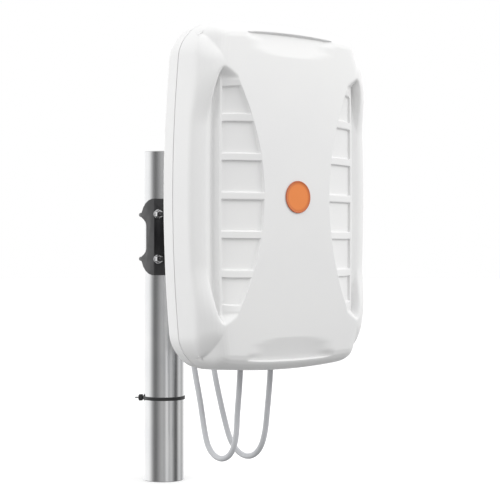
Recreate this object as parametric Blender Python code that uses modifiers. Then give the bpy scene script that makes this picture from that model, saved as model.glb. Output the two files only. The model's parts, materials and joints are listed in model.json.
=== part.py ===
"""Flat-panel directional antenna on a section of round mast.

Lengths below are in millimetres and become metres when a shape is made. X is to the right, Y points away from
the antenna's face and Z is up. The origin is the middle of the mast's foot.
"""

import math

import bpy
from mathutils import Matrix, Vector

MM = 0.001

# The mast, and what grips it.
MAST_RADIUS = 28.5
MAST_WALL = 3.0
MAST_HEIGHT = 463.0
GAP = 0.3
CLAMP_Z = 342.5
SADDLE_FRONT_Y = -31.0
U_BOLT_HEIGHTS = {"upper": 374.0, "lower": 312.0}
U_BOLT_X = 33.0
ROD_RADIUS = 3.0
TILT_Y = -100.0
CLIP_Y = -20.0
CLIP_SCREW_Z = 299.5

# The case. Depth is measured back from its foremost point.
PANEL_Z = 391.0
FACE_Y = -290.0
SEAM_DEPTH = 67.5
BACK_DEPTH = 98.0
FACE_HALF_WIDTH = 145.0
FACE_HALF_HEIGHT = 218.5
SEAM_HALF_WIDTH = 145.2
SEAM_HALF_HEIGHT = 221.0
BACK_HALF_WIDTH = 142.5
BACK_HALF_HEIGHT = 220.0
CORNER_RADIUS = 39.0
SIDE_BOW = 13.0
END_BOW = 11.0
WALL = 4.0
BAY_TOP = 150.0
BAY_END = 162.0
LADDER_X = 107.2
LADDER_DEPTH = 18.4
CELL_DEPTH = 2.2
CELLS = ((4.0, 44.0), (52.0, 92.0), (100.3, 134.8))
SCOOP_FOOT = 176.6
SCOOP_LIP = 205.5
SCOOP_DEPTH = 19.0
# (distance from the middle, depth) across the groove beside each ladder, and across the shoulder past its ends.
GROOVE = (
    (107.2, 18.4), (111.0, 19.6), (114.4, 27.2), (119.0, 26.8), (125.0, 24.5), (131.0, 24.5), (137.0, 27.0),
    (142.5, 31.0), (145.0, 37.0),
)
SHOULDER = (
    (100.0, 0.0), (107.2, 0.3), (111.0, 0.8), (119.0, 2.4), (125.0, 4.8), (131.0, 8.2), (137.0, 12.6),
    (142.5, 18.3), (145.0, 25.0),
)
# (height from the middle, further depth) over the rounding at the top and the bottom.
TOP_EDGE = ((200.0, 0.0), (207.0, 2.1), (211.0, 4.8), (214.5, 9.0), (217.0, 14.5), (FACE_HALF_HEIGHT, 22.0))
FACE_STATIONS = (0.0, 0.45, 1.0, 1.5, 2.0)
SIDE_STATIONS = tuple(x for x, depth in GROOVE[1:])
END_STATIONS = (
    0.0, 40.0, 80.0, 118.0, 142.0, BAY_TOP, 156.0, BAY_END, 170.0, SCOOP_FOOT,
    191.0, SCOOP_LIP, 207.0, 211.0, 214.5, 217.0, FACE_HALF_HEIGHT,
)

# Other pieces.
LEAD_RADIUS = 3.8
LEAD_X = 25.4
LEAD_TOP_Z = 218.0
GLAND_Y = -206.0
BAY_ROOF_Z = 204.0
TIE_Z = 116.0
# The leads run down the back of the mast in this direction, side by side.
BACK_WAY = Vector((0.58, 0.814, 0.0)).normalized()
SIDE_WAY = Vector((0.814, -0.58, 0.0)).normalized()


def make_collection(name):
    collection = bpy.data.collections.new(name)
    bpy.context.scene.collection.children.link(collection)
    return collection


def clear_scene():
    for obj in list(bpy.data.objects):
        bpy.data.objects.remove(obj, do_unlink=True)


def make_material(name, color, roughness, metallic=0.0):
    material = bpy.data.materials.new(name)
    material.use_nodes = True
    shader = material.node_tree.nodes["Principled BSDF"]
    shader.inputs["Base Color"].default_value = (*color, 1.0)
    shader.inputs["Roughness"].default_value = roughness
    shader.inputs["Metallic"].default_value = metallic
    return material


clear_scene()
PARTS = make_collection("panel_antenna")
CUTTERS = make_collection("cutters")
CASE_WHITE = make_material("case_white", (0.80, 0.80, 0.79), 0.45)
BADGE_ORANGE = make_material("badge_orange", (0.82, 0.25, 0.07), 0.35)
SEAL_GREY = make_material("seal_grey", (0.10, 0.10, 0.11), 0.8)
MAST_STEEL = make_material("mast_steel", (0.52, 0.53, 0.54), 0.28, 1.0)
CLAMP_BLACK = make_material("clamp_black", (0.025, 0.025, 0.028), 0.5)
STAINLESS = make_material("stainless", (0.62, 0.62, 0.63), 0.3, 1.0)
SHEET_ALUMINIUM = make_material("sheet_aluminium", (0.75, 0.76, 0.77), 0.4, 1.0)
BOARD_GREEN = make_material("board_green", (0.03, 0.16, 0.07), 0.45)
NYLON_BLACK = make_material("nylon_black", (0.03, 0.03, 0.03), 0.5)
NYLON_WHITE = make_material("nylon_white", (0.75, 0.75, 0.72), 0.5)
LEAD_GREY = make_material("lead_grey", (0.62, 0.63, 0.65), 0.45)
COAX_BROWN = make_material("coax_brown", (0.35, 0.16, 0.07), 0.4)
NICKEL = make_material("nickel", (0.68, 0.66, 0.60), 0.25, 1.0)


# Making shapes

def file_under(obj, collection, name, material=None):
    obj.name = name
    for other in list(obj.users_collection):
        other.objects.unlink(obj)
    collection.objects.link(obj)
    if material:
        obj.data.materials.clear()
        obj.data.materials.append(material)
    if collection is CUTTERS:
        obj.hide_render = True
        obj.display_type = "WIRE"
    return obj


def box(name, low, high, material=None, collection=PARTS):
    low = Vector(low) * MM
    high = Vector(high) * MM
    bpy.ops.mesh.primitive_cube_add(size=1.0)
    obj = bpy.context.object
    middle = (low + high) / 2
    size = high - low
    for vertex in obj.data.vertices:
        vertex.co = middle + Vector(a * b for a, b in zip(vertex.co, size))
    return file_under(obj, collection, name, material)


def wedge(name, place):
    """A cutter with six flat sides; place() says where each corner of a unit cube goes, in millimetres."""
    bpy.ops.mesh.primitive_cube_add(size=2.0)
    obj = bpy.context.object
    for vertex in obj.data.vertices:
        vertex.co = Vector(place(*vertex.co)) * MM
    if obj.data.polygons[0].normal.dot(obj.data.polygons[0].center - mean_point(obj)) < 0:
        obj.data.flip_normals()
    return file_under(obj, CUTTERS, name)


def mean_point(obj):
    return sum((vertex.co for vertex in obj.data.vertices), Vector()) / len(obj.data.vertices)


def rod(name, start, end, radius, sides=24, material=None, collection=PARTS, turn=0.0):
    start = Vector(start) * MM
    end = Vector(end) * MM
    along = end - start
    bpy.ops.mesh.primitive_cylinder_add(vertices=sides, radius=radius * MM, depth=along.length)
    obj = bpy.context.object
    place = Matrix.Translation((start + end) / 2)
    place = place @ along.to_track_quat("Z", "Y").to_matrix().to_4x4() @ Matrix.Rotation(turn, 4, "Z")
    obj.data.transform(place)
    return file_under(obj, collection, name, material)


def prism(name, outline, axis, low, high, material=None, collection=PARTS):
    """A flat outline, given anticlockwise about the axis, carried from low to high along it."""
    place = {
        "X": lambda a, b: (low, a, b),
        "Y": lambda a, b: (b, low, a),
        "Z": lambda a, b: (a, b, low),
    }[axis]
    bpy.ops.mesh.primitive_circle_add(vertices=len(outline), radius=1.0, fill_type="NGON")
    obj = bpy.context.object
    for vertex, (a, b) in zip(obj.data.vertices, outline):
        vertex.co = Vector(place(a, b)) * MM
    thicken(obj, high - low, offset=1.0)
    return file_under(obj, collection, name, material)


def thicken(obj, thickness, offset=-1.0):
    modifier = obj.modifiers.new("wall", "SOLIDIFY")
    modifier.thickness = thickness * MM
    modifier.offset = offset
    modifier.use_even_offset = True
    bake(obj)


def bake(obj):
    """Replaces the object's mesh with what its modifiers make of it."""
    graph = bpy.context.evaluated_depsgraph_get()
    mesh = bpy.data.meshes.new_from_object(obj.evaluated_get(graph))
    obj.modifiers.clear()
    obj.data = mesh


def combine(obj, others, operation):
    for other in others:
        modifier = obj.modifiers.new(operation.lower(), "BOOLEAN")
        modifier.operation = operation
        modifier.solver = "EXACT"
        modifier.object = other
    bake(obj)
    for other in others:
        bpy.data.objects.remove(other, do_unlink=True)
    return obj


def join(obj, *others):
    return combine(obj, others, "UNION")


def cut(obj, *others):
    return combine(obj, others, "DIFFERENCE")


def hole(start, end, radius, sides=24):
    return rod("hole", start, end, radius, sides, collection=CUTTERS)


def wire(name, points, radius, material, sides=2):
    """A round cord through the points, in millimetres."""
    curve = bpy.data.curves.new(name, "CURVE")
    curve.dimensions = "3D"
    curve.bevel_depth = radius * MM
    curve.bevel_resolution = sides
    curve.use_fill_caps = True
    spline = curve.splines.new("POLY")
    spline.points.add(len(points) - 1)
    for slot, co in zip(spline.points, points):
        slot.co = (*(Vector(co) * MM), 1.0)
    obj = bpy.data.objects.new(name, curve)
    PARTS.objects.link(obj)
    curve.materials.append(material)
    return obj


def smooth_path(knots, step):
    """Points about one step apart on a smooth curve that passes through the knots."""
    ends = [2 * Vector(knots[0]) - Vector(knots[1]), 2 * Vector(knots[-1]) - Vector(knots[-2])]
    knots = [ends[0], *(Vector(knot) for knot in knots), ends[1]]
    points = []
    for a, b, c, d in zip(knots, knots[1:], knots[2:], knots[3:]):
        count = max(1, round((c - b).length / step))
        for k in range(count):
            t = k / count
            points.append(
                0.5
                * (2 * b + (c - a) * t + (2 * a - 5 * b + 4 * c - d) * t**2 + (3 * b - a - 3 * c + d) * t**3)
            )
    return points + [knots[-2]]


def arc(middle, radius, start, end, count):
    """Points on a circle, from one angle to another in degrees."""
    angles = [math.radians(start + (end - start) * k / (count - 1)) for k in range(count)]
    return [(middle[0] + radius * math.cos(angle), middle[1] + radius * math.sin(angle)) for angle in angles]


# The case

def between(value, low, high):
    t = min(max((value - low) / (high - low), 0.0), 1.0)
    return t * t * (3 - 2 * t)


def line_value(points, x):
    if x <= points[0][0]:
        return points[0][1]
    for (x0, y0), (x1, y1) in zip(points, points[1:]):
        if x <= x1:
            return y0 + (y1 - y0) * (x - x0) / (x1 - x0)
    return points[-1][1]


def hourglass_edge(z):
    return 53.5 + 0.00179 * min(abs(z), 142.0) ** 2


def dome(z):
    return 0.00028 * z * z


def ladder_depth(x, z):
    """Depth of the sloping recess beside the hourglass, of the groove outside it and of the shoulder."""
    edge = hourglass_edge(z)
    if x <= edge:
        return dome(z)
    if x <= LADDER_X:
        return dome(z) + (LADDER_DEPTH - dome(z)) * (x - edge) / (LADDER_X - edge)
    return line_value(GROOVE, x)


def scoop_depth(x, z):
    slope = (SCOOP_DEPTH - dome(SCOOP_FOOT)) / (SCOOP_LIP - SCOOP_FOOT)
    ramp = min(dome(SCOOP_FOOT) + slope * (z - SCOOP_FOOT), SCOOP_DEPTH)
    ramp -= 4.0 * between(z, SCOOP_LIP, SCOOP_LIP + 1.5)
    half_width = 50.0 + 21.0 * (z - SCOOP_FOOT) / (SCOOP_LIP - SCOOP_FOOT)
    return (ramp - dome(z)) * (1 - between(x, half_width - 6, half_width + 2))


def face_depth(x, z):
    """Depth of the front cover at a distance x from the middle line and a height z from the middle."""
    x, z = abs(x), abs(z)
    body = dome(z) + math.hypot(line_value(TOP_EDGE, z), line_value(SHOULDER, x))
    if SCOOP_FOOT < z:
        body = max(body, dome(z) + max(scoop_depth(x, z), 0.0))
    inward = min(max(110.0 - x, 0.0), 21.0)
    fade_start = BAY_TOP - 3 - 0.2 * inward - 60.0 * between(x, 112.0, 127.0)
    bay = 1 - between(z, fade_start, BAY_END - 0.7 * inward)
    return body + max(ladder_depth(x, z) - body, 0.0) * bay


def rounded(x, z, half_width, half_height):
    """Moves a point of the plain rectangle FACE_HALF_WIDTH by FACE_HALF_HEIGHT onto the case's rounded shape."""
    u, v = abs(x) / FACE_HALF_WIDTH, abs(z) / FACE_HALF_HEIGHT
    ring = max(u, v)
    radius = CORNER_RADIUS * between(ring, 0.72, 1.0)
    width, height = FACE_HALF_WIDTH * ring, FACE_HALF_HEIGHT * ring
    ax, az = abs(x), abs(z)
    if radius > 0 and ax > width - radius and az > height - radius:
        a = (ax - width + radius) / radius
        b = (az - height + radius) / radius
        angle = math.pi / 4 * b if a >= b else math.pi / 2 - math.pi / 4 * a
        ax = width - radius + radius * math.cos(angle)
        az = height - radius + radius * math.sin(angle)
    pull = between(ring, 0.6, 1.0)
    ax -= SIDE_BOW * (az / FACE_HALF_HEIGHT) ** 2 * pull * u
    az -= END_BOW * (ax / FACE_HALF_WIDTH) ** 2 * pull * v
    ax *= 1 + (half_width / FACE_HALF_WIDTH - 1) * pull
    az *= 1 + (half_height / FACE_HALF_HEIGHT - 1) * pull
    return math.copysign(ax, x), math.copysign(az, z)


def mirrored(stations):
    return [-station for station in reversed(stations) if station] + list(stations)


def shell(name, columns, rows, wall_rings, place, outward):
    """A cover: a grid of columns by rows, whose outermost rings of points form the side wall."""
    extra = len(wall_rings)
    across = len(columns) + 2 * extra
    up = len(rows) + 2 * extra
    bpy.ops.mesh.primitive_grid_add(x_subdivisions=across - 1, y_subdivisions=up - 1, size=1.0)
    obj = bpy.context.object
    for vertex in obj.data.vertices:
        j, i = divmod(vertex.index, across)
        ring = min(i, j, across - 1 - i, up - 1 - j)
        column = columns[min(max(i - extra, 0), len(columns) - 1)]
        row = rows[min(max(j - extra, 0), len(rows) - 1)]
        wall = wall_rings[ring] if ring < extra else None
        x, depth, z = place(column, row, wall, i, j, across, up)
        vertex.co = Vector((x, FACE_Y + depth, PANEL_Z + z)) * MM
    if not outward:
        obj.data.flip_normals()
    # At each corner the wall's rings have points to spare, all in one place.
    obj.modifiers.new("corners", "WELD").merge_threshold = 0.01 * MM
    bake(obj)
    return file_under(obj, PARTS, name, CASE_WHITE)


def front_point(column, row, wall, *_):
    z = row
    if column > 2.0 or column < -2.0:
        x = column
    else:
        edge = hourglass_edge(z)
        size = abs(column)
        x = edge * size if size <= 1 else edge + (LADDER_X - edge) * (size - 1)
        x = math.copysign(x, column)
    if wall is None:
        depth = face_depth(x, z)
        grow = min(max((depth - 24.0) / (SEAM_DEPTH - 24.0), -0.3), 1.0)
    else:
        depth = wall
        grow = 1.0
    half_width = FACE_HALF_WIDTH + (SEAM_HALF_WIDTH - FACE_HALF_WIDTH) * grow
    half_height = FACE_HALF_HEIGHT + (SEAM_HALF_HEIGHT - FACE_HALF_HEIGHT) * grow
    x, z = rounded(x, z, half_width, half_height)
    return x, depth, z


def rear_point(column, row, wall, *_):
    if wall is None:
        x, z = rounded(column, row, BACK_HALF_WIDTH - 11.0, BACK_HALF_HEIGHT - 11.0)
        return x, BACK_DEPTH, z
    depth, half_width, half_height = wall
    x, z = rounded(column, row, half_width, half_height)
    return x, depth, z


def screw_places():
    return [(x, z) for x in (-117.0, 117.0) for z in (-148.0, 0.0, 148.0)]


def case_point(x, depth, z):
    return (x, FACE_Y + depth, PANEL_Z + z)


def build_front_cover():
    columns = mirrored(FACE_STATIONS) + list(SIDE_STATIONS)
    columns = [-x for x in reversed(SIDE_STATIONS)] + columns
    walls = (SEAM_DEPTH - 0.6, SEAM_DEPTH - 4.0)
    cover = shell("front_radome", columns, mirrored(END_STATIONS), walls, front_point, True)
    thicken(cover, WALL)
    pads = []
    for x, z in screw_places():
        side = math.copysign(1, x)
        columns = sorted((side * 112, side * 122))
        reach = 143.0 - SIDE_BOW * (z / FACE_HALF_HEIGHT) ** 2
        front = max(face_depth(117, abs(z) - 6), face_depth(117, abs(z) + 6)) + 1.5
        webs = sorted((side * 120, side * reach))
        pads.append(box("pad", case_point(columns[0], front, z - 6), case_point(columns[1], 94.4, z + 6)))
        pads.append(box("web", case_point(webs[0], 37, z - 2), case_point(webs[1], 50, z + 2)))
    join(cover, *pads)
    cutters = [hole(case_point(x, 50, z), case_point(x, 110, z), 2.0, 12) for x, z in screw_places()]
    for side in (-1, 1):
        for end in (-1, 1):
            for low, high in CELLS:
                cutters.append(cell_cutter(side, end, low, high))
    return cut(cover, *cutters)


def cell_cutter(side, end, low, high):
    """The recess between two rungs of a ladder: it follows the slope, a little under the surface."""
    def corner(across, back, up):
        z = low if up < 0 else high
        edge = hourglass_edge(z)
        x = edge + 1.5 if across < 0 else LADDER_X - 0.7
        depth = ladder_depth(x, z) + (CELL_DEPTH if back > 0 else -12.0)
        return case_point(side * x, depth, end * z)
    return wedge("cell", corner)


def build_rear_cover():
    columns = mirrored((0.0, 50.0, 100.0, 110.0, 123.0, FACE_HALF_WIDTH))
    rows = mirrored((0.0, 60.0, 120.0, 181.5, 193.0, 206.0, FACE_HALF_HEIGHT))
    walls = (
        (SEAM_DEPTH + 0.6, SEAM_HALF_WIDTH, SEAM_HALF_HEIGHT),
        (SEAM_DEPTH + 4.0, SEAM_HALF_WIDTH, SEAM_HALF_HEIGHT),
        (BACK_DEPTH - 11.0, BACK_HALF_WIDTH, BACK_HALF_HEIGHT),
        (BACK_DEPTH - 6.0, BACK_HALF_WIDTH - 1.6, BACK_HALF_HEIGHT - 1.6),
        (BACK_DEPTH - 1.6, BACK_HALF_WIDTH - 5.6, BACK_HALF_HEIGHT - 5.6),
    )
    cover = shell("rear_cover", columns, rows, walls, rear_point, False)
    thicken(cover, 3.0)
    bay_low = FACE_Y + 70.5
    additions = [box("bay_walls", (-51, bay_low, 175.5), (51, FACE_Y + 95, BAY_ROOF_Z))]
    for x, z in yoke_screw_places():
        additions.append(rod("pad", (x, FACE_Y + 87.4, z), (x, FACE_Y + 96, z), 7.0, 16))
    join(cover, *additions)
    cutters = [box("bay", (-48, bay_low + 2.6, 150), (48, FACE_Y + 110, BAY_ROOF_Z - 3), collection=CUTTERS)]
    for x, z in screw_places():
        cutters.append(hole(case_point(x, 90, z), case_point(x, 110, z), 2.2, 12))
    for x, z in yoke_screw_places():
        cutters.append(hole((x, FACE_Y + 80, z), (x, FACE_Y + 110, z), 3.4, 16))
    for x in (-LEAD_X, LEAD_X):
        cutters.append(hole((x, GLAND_Y, 190), (x, GLAND_Y, 215), 7.5))
    cutters.append(hole(case_point(80, 90, -150), case_point(80, 110, -150), 4.0, 16))
    return cut(cover, *cutters)


def loop_strip(name, points, low, high, thickness, outwards, material, axis):
    """A band around a closed outline, from low to high along the axis."""
    bpy.ops.mesh.primitive_cylinder_add(vertices=len(points), radius=1.0, depth=2.0, end_fill_type="NOTHING")
    obj = bpy.context.object
    for vertex in obj.data.vertices:
        turn = math.atan2(vertex.co.x, vertex.co.y) / math.tau % 1.0
        a, b = points[-round(turn * len(points)) % len(points)]
        level = high if vertex.co.z > 0 else low
        vertex.co = Vector((a, b, level) if axis == "Z" else (a, level, b)) * MM
    if axis == "Y":
        obj.data.flip_normals()
    thicken(obj, thickness, 1.0 if outwards else -1.0)
    return file_under(obj, PARTS, name, material)


def case_outline(inset):
    """Points round the case at the seam, anticlockwise, moved inwards by inset."""
    columns = mirrored((0.0, 50.0, 98.0, 110.0, 123.0, FACE_HALF_WIDTH))
    rows = mirrored((0.0, 60.0, 120.0, 179.5, 193.0, 206.0, FACE_HALF_HEIGHT))
    path = [(x, -FACE_HALF_HEIGHT) for x in columns]
    path += [(FACE_HALF_WIDTH, z) for z in rows[1:]]
    path += [(x, FACE_HALF_HEIGHT) for x in reversed(columns[:-1])]
    path += [(-FACE_HALF_WIDTH, z) for z in reversed(rows[1:-1])]
    return [rounded(x, z, SEAM_HALF_WIDTH - inset, SEAM_HALF_HEIGHT - inset) for x, z in path]


def build_gasket():
    outline = [(x, PANEL_Z + z) for x, z in case_outline(4.8)]
    return loop_strip("cover_gasket", outline, FACE_Y + 63, FACE_Y + 70, 2.2, False, SEAL_GREY, "Y")


def build_badge():
    middle = (0.0, FACE_Y - 1.5, PANEL_Z)
    return rod("badge_disc", middle, (0.0, FACE_Y - GAP, PANEL_Z), 20.3, 48, BADGE_ORANGE)


def build_cover_screws():
    for number, (x, z) in enumerate(screw_places(), 1):
        name = f"cover_screw_{number}"
        head = rod(name, case_point(x, 98.3, z), case_point(x, 100.8, z), 4.0, 16, STAINLESS)
        join(head, rod("shank", case_point(x, 62, z), case_point(x, 98.8, z), 1.6, 12))
        cut(head, hole(case_point(x, 99.8, z), case_point(x, 102, z), 1.6, 6))


# Inside the case

def build_tray():
    tray = box("reflector_tray", (-106, -219, PANEL_Z - 165), (106, -203, PANEL_Z + 175), SHEET_ALUMINIUM)
    cutters = [box("trough", (-104, -230, PANEL_Z - 170), (104, -205, PANEL_Z + 180), collection=CUTTERS)]
    for x, z in yoke_screw_places():
        cutters.append(hole((x, -230, z), (x, -200, z), 3.4, 16))
    return cut(tray, *cutters)


def build_radiators():
    for place, middle in (("upper", 88.0), ("lower", -88.0)):
        z = PANEL_Z + middle
        board = box(f"radiator_{place}", (-55, -233.6, z - 55), (55, -232, z + 55), BOARD_GREEN)
        disc = rod(f"director_{place}", (0, -253.5, z), (0, -252, z), 38.0, 32, SHEET_ALUMINIUM)
        join(disc, rod("post", (0, -252.5, z), (0, -233.9, z), 4.0, 12))
        for step, end in (("above", 35.0), ("below", -35.0)):
            rod(f"standoff_{place}_{step}", (0, -231.7, z + end), (0, -205.3, z + end), 4.0, 12, NYLON_WHITE)


def build_feed():
    box("feed_board", (-28, -207, PANEL_Z - 40), (28, -205.3, PANEL_Z + 40), BOARD_GREEN)
    for side, name in ((-1, "left"), (1, "right")):
        knots = (
            (side * LEAD_X, GLAND_Y, 219.5), (side * LEAD_X, -207.5, 224), (side * LEAD_X, -211, 232),
            (side * 22, -211, 260), (side * 14, -211, 300), (side * 12, -210.3, 356),
        )
        wire(f"feed_coax_{name}", smooth_path(knots, 9.0), 2.2, COAX_BROWN)


def build_glands():
    for side, name in ((-1, "left"), (1, "right")):
        x = side * LEAD_X

        def ring(label, low, high, radius, sides):
            return rod(label, (x, GLAND_Y, low), (x, GLAND_Y, high), radius, sides, NYLON_WHITE)

        body = ring(f"gland_body_{name}", BAY_ROOF_Z - 8, BAY_ROOF_Z - 3.3, 10.0, 6)
        join(body, ring("thread", BAY_ROOF_Z - 6, BAY_ROOF_Z + 9, 7.0, 24))
        join(body, ring("spigot", BAY_ROOF_Z - 15, BAY_ROOF_Z - 7, 6.3, 24))
        cut(body, hole((x, GLAND_Y, 150), (x, GLAND_Y, 250), 4.2, 16))
        nut = ring(f"gland_lock_nut_{name}", BAY_ROOF_Z + 0.4, BAY_ROOF_Z + 5.4, 9.4, 6)
        cut(nut, hole((x, GLAND_Y, 150), (x, GLAND_Y, 250), 7.4))
        dome_nut = ring(f"gland_dome_nut_{name}", BAY_ROOF_Z - 22, BAY_ROOF_Z - 8.4, 9.6, 6)
        cutters = [hole((x, GLAND_Y, 150), (x, GLAND_Y, 250), 4.2, 16)]
        cutters.append(hole((x, GLAND_Y, BAY_ROOF_Z - 15.6), (x, GLAND_Y, 250), 6.7))
        cut(dome_nut, *cutters)


def build_vent():
    vent = rod("vent_plug", case_point(80, 98.3, -150), case_point(80, 101.5, -150), 8.0, 24, NYLON_WHITE)
    return join(vent, rod("stem", case_point(80, 91, -150), case_point(80, 99, -150), 3.6, 16))


# Tilt yoke, saddle and clamp

def yoke_screw_places():
    return [(x, CLAMP_Z + z) for x in (-36.0, 36.0) for z in (-40.0, 40.0)]


def build_yoke():
    yoke = box("tilt_yoke", (-46, -191.7, CLAMP_Z - 52), (46, -186.7, CLAMP_Z + 52), CLAMP_BLACK)
    outline = [(-189, 38), (-189, -38), (-172, -30)]
    outline += arc((TILT_Y, 0), 17.0, -100, 100, 11)
    outline += [(-172, 30)]
    outline = [(y, CLAMP_Z + z) for y, z in outline]
    join(yoke, prism("cheek_left", outline, "X", -25.5, -20.5), prism("cheek_right", outline, "X", 20.5, 25.5))
    cutters = [hole((-60, TILT_Y, CLAMP_Z), (60, TILT_Y, CLAMP_Z), 4.35)]
    for x, z in yoke_screw_places():
        cutters.append(hole((x, -200, z), (x, -180, z), 3.4, 16))
    cut(yoke, *cutters)
    for number, (x, z) in enumerate(yoke_screw_places(), 1):
        screw = rod(f"yoke_screw_{number}", (x, -186.4, z), (x, -182.4, z), 5.5, 6, STAINLESS)
        join(screw, rod("shank", (x, -212, z), (x, -186, z), 3.0, 16))
    for side, name in ((-1, "left"), (1, "right")):
        ends = sorted((side * 31.5, side * 40.5))
        low = (ends[0], -209.3, CLAMP_Z - 50)
        high = (ends[1], -205.3, CLAMP_Z + 50)
        bar = box(f"backing_bar_{name}", low, high, STAINLESS)
        heights = (CLAMP_Z - 40, CLAMP_Z + 40)
        cut(bar, *(hole((side * 36, -215, z), (side * 36, -200, z), 3.35, 16) for z in heights))


def saddle_profile():
    """The saddle from its side: a flat front, and a horn that reaches back at the top and at the bottom."""
    horn = [(-26.0, 53.0), (-18.0, 51.3), (-10.5, 47.4), (-4.5, 41.6), (0.0, 33.5), (0.0, 27.5), (-5.0, 24.6)]
    horn += [(-9.8, 21.0), (-11.7, 16.5)]
    upper = [(y, CLAMP_Z + z) for y, z in horn]
    lower = [(y, CLAMP_Z - z) for y, z in horn]
    return [(SADDLE_FRONT_Y, CLAMP_Z + 53), (SADDLE_FRONT_Y, CLAMP_Z - 53)] + lower + upper[::-1]


def build_saddle():
    saddle = prism("mast_saddle", saddle_profile(), "X", -38.5, 38.5, CLAMP_BLACK)
    lug = [(-30, CLAMP_Z - 30), (-45, CLAMP_Z - 26), *arc((TILT_Y, CLAMP_Z), 14.0, 280, 80, 9)]
    lug += [(-45, CLAMP_Z + 26), (-30, CLAMP_Z + 30)]
    lug = lug[::-1]
    join(
        saddle,
        box("pad", (-22, -37, CLAMP_Z - 36), (22, -30, CLAMP_Z + 36)),
        prism("lug_left", lug, "X", -18.5, -12.5),
        prism("lug_right", lug, "X", 12.5, 18.5),
    )
    cutters = [
        hole((0, 0, 200), (0, 0, 500), MAST_RADIUS + 0.4, 48),
        hole((-60, TILT_Y, CLAMP_Z), (60, TILT_Y, CLAMP_Z), 4.35),
    ]
    for z in U_BOLT_HEIGHTS.values():
        for x in (-U_BOLT_X, U_BOLT_X):
            cutters.append(hole((x, -50, z), (x, 20, z), 3.35, 16))
    cutters.append(hole((30, CLIP_Y, CLIP_SCREW_Z), (50, CLIP_Y, CLIP_SCREW_Z), 2.5, 16))
    return cut(saddle, *cutters)


def build_u_bolts():
    for name, z in U_BOLT_HEIGHTS.items():
        bend = [(x, y - 1.2, z) for x, y in arc((0, 0), U_BOLT_X, 0, 180, 25)]
        points = [(U_BOLT_X, -43, z), *bend, (-U_BOLT_X, -43, z)]
        wire(f"u_bolt_{name}", points, ROD_RADIUS, CLAMP_BLACK, 3)
        for side, label in ((-1, "left"), (1, "right")):
            x = side * U_BOLT_X
            nut = rod(f"u_bolt_nut_{name}_{label}", (x, -37.2, z), (x, -32.2, z), 5.8, 6, STAINLESS)
            join(nut, rod("flange", (x, -32.6, z), (x, -31.3, z), 6.6, 24))
            cut(nut, hole((x, -50, z), (x, 0, z), 3.35, 16))


def build_tilt_bolt():
    bolt = rod("tilt_bolt", (-31.3, TILT_Y, CLAMP_Z), (-25.8, TILT_Y, CLAMP_Z), 7.5, 6, STAINLESS)
    join(bolt, rod("shank", (-26.5, TILT_Y, CLAMP_Z), (36, TILT_Y, CLAMP_Z), 4.0))
    nut = rod("tilt_nut", (25.8, TILT_Y, CLAMP_Z), (32.3, TILT_Y, CLAMP_Z), 7.5, 6, STAINLESS)
    cut(nut, hole((0, TILT_Y, CLAMP_Z), (60, TILT_Y, CLAMP_Z), 4.35))
    for name, low in (("left", -20.2), ("right", 18.8)):
        ends = [(x, TILT_Y, CLAMP_Z) for x in (low, low + 1.4)]
        washer = rod(f"friction_washer_{name}", *ends, 11.0, 24, NYLON_BLACK)
        cut(washer, hole((-60, TILT_Y, CLAMP_Z), (60, TILT_Y, CLAMP_Z), 4.35))


def build_mast():
    mast = rod("mast_tube", (0, 0, 0), (0, 0, MAST_HEIGHT), MAST_RADIUS, 48, MAST_STEEL)
    return cut(mast, hole((0, 0, -10), (0, 0, MAST_HEIGHT + 10), MAST_RADIUS - MAST_WALL, 48))


# Leads

def on_mast(tangent, radial, z):
    """A point behind the mast: across and out from its axis, in the direction that the leads hang."""
    return BACK_WAY * radial + SIDE_WAY * tangent + Vector((0, 0, z))


def lead_knots(name):
    """Where a lead goes: its loop under the case, up to the clip on the saddle, then down behind the mast."""
    if name == "left":
        rise = [(-203.2, 142.0), (-199.2, 110.0), (-197.2, 83.0), (-187.5, 59.0), (-163.5, 48.6)]
        rise += [(-139.5, 59.0), (-128.8, 84.0), (-119.5, 122.0), (-106.3, 165.3)]
        back = [(-22, -94, 209), (-8, -80, 244), (13, -61, 267), (32, -40, 277), (42.5, -21, 278.3)]
        back += [(46, 0, 272), (44, 16, 253), (38, 22.5, 224), (30.5, 24, 190), on_mast(4.4, 33.2, 158)]
        x, drop = -LEAD_X, 1
    else:
        rise = [(-203.0, 142.0), (-198.5, 110.0), (-195.0, 86.0), (-185.5, 62.0), (-166.0, 48.6)]
        rise += [(-143.0, 48.6), (-122.0, 63.0), (-110.5, 85.0), (-97.0, 119.0), (-83.5, 160.0)]
        back = [(26, -75, 201), (29.5, -69, 238), (36.5, -58.5, 268), (43, -39, 284.5), (46, -19, 287.3)]
        back += [(48.5, 2, 284), (48.5, 21, 267), (41.5, 32, 240), (29.5, 35, 211), on_mast(-4.8, 35.6, 182)]
        x, drop = LEAD_X, -1
    top = [(x, GLAND_Y, LEAD_TOP_Z), (x, GLAND_Y, 176.0)]
    foot = [on_mast(drop * 4.3, 32.8, z) for z in (130, 106)]
    foot += [on_mast(drop * 7.4, 36.4, 92), on_mast(drop * 10.6, 40.0, 78), on_mast(drop * 10.6, 40.0, 69.8)]
    return top + [(x, y, z) for y, z in rise] + back + foot


def relaxed(points, rounds):
    """Evens out a path's bends, by moving each point towards the middle of its neighbours."""
    for _ in range(rounds):
        inner = [(a + 2 * b + c) / 4 for a, b, c in zip(points, points[1:], points[2:])]
        points = [points[0], *inner, points[-1]]
    return points


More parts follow.
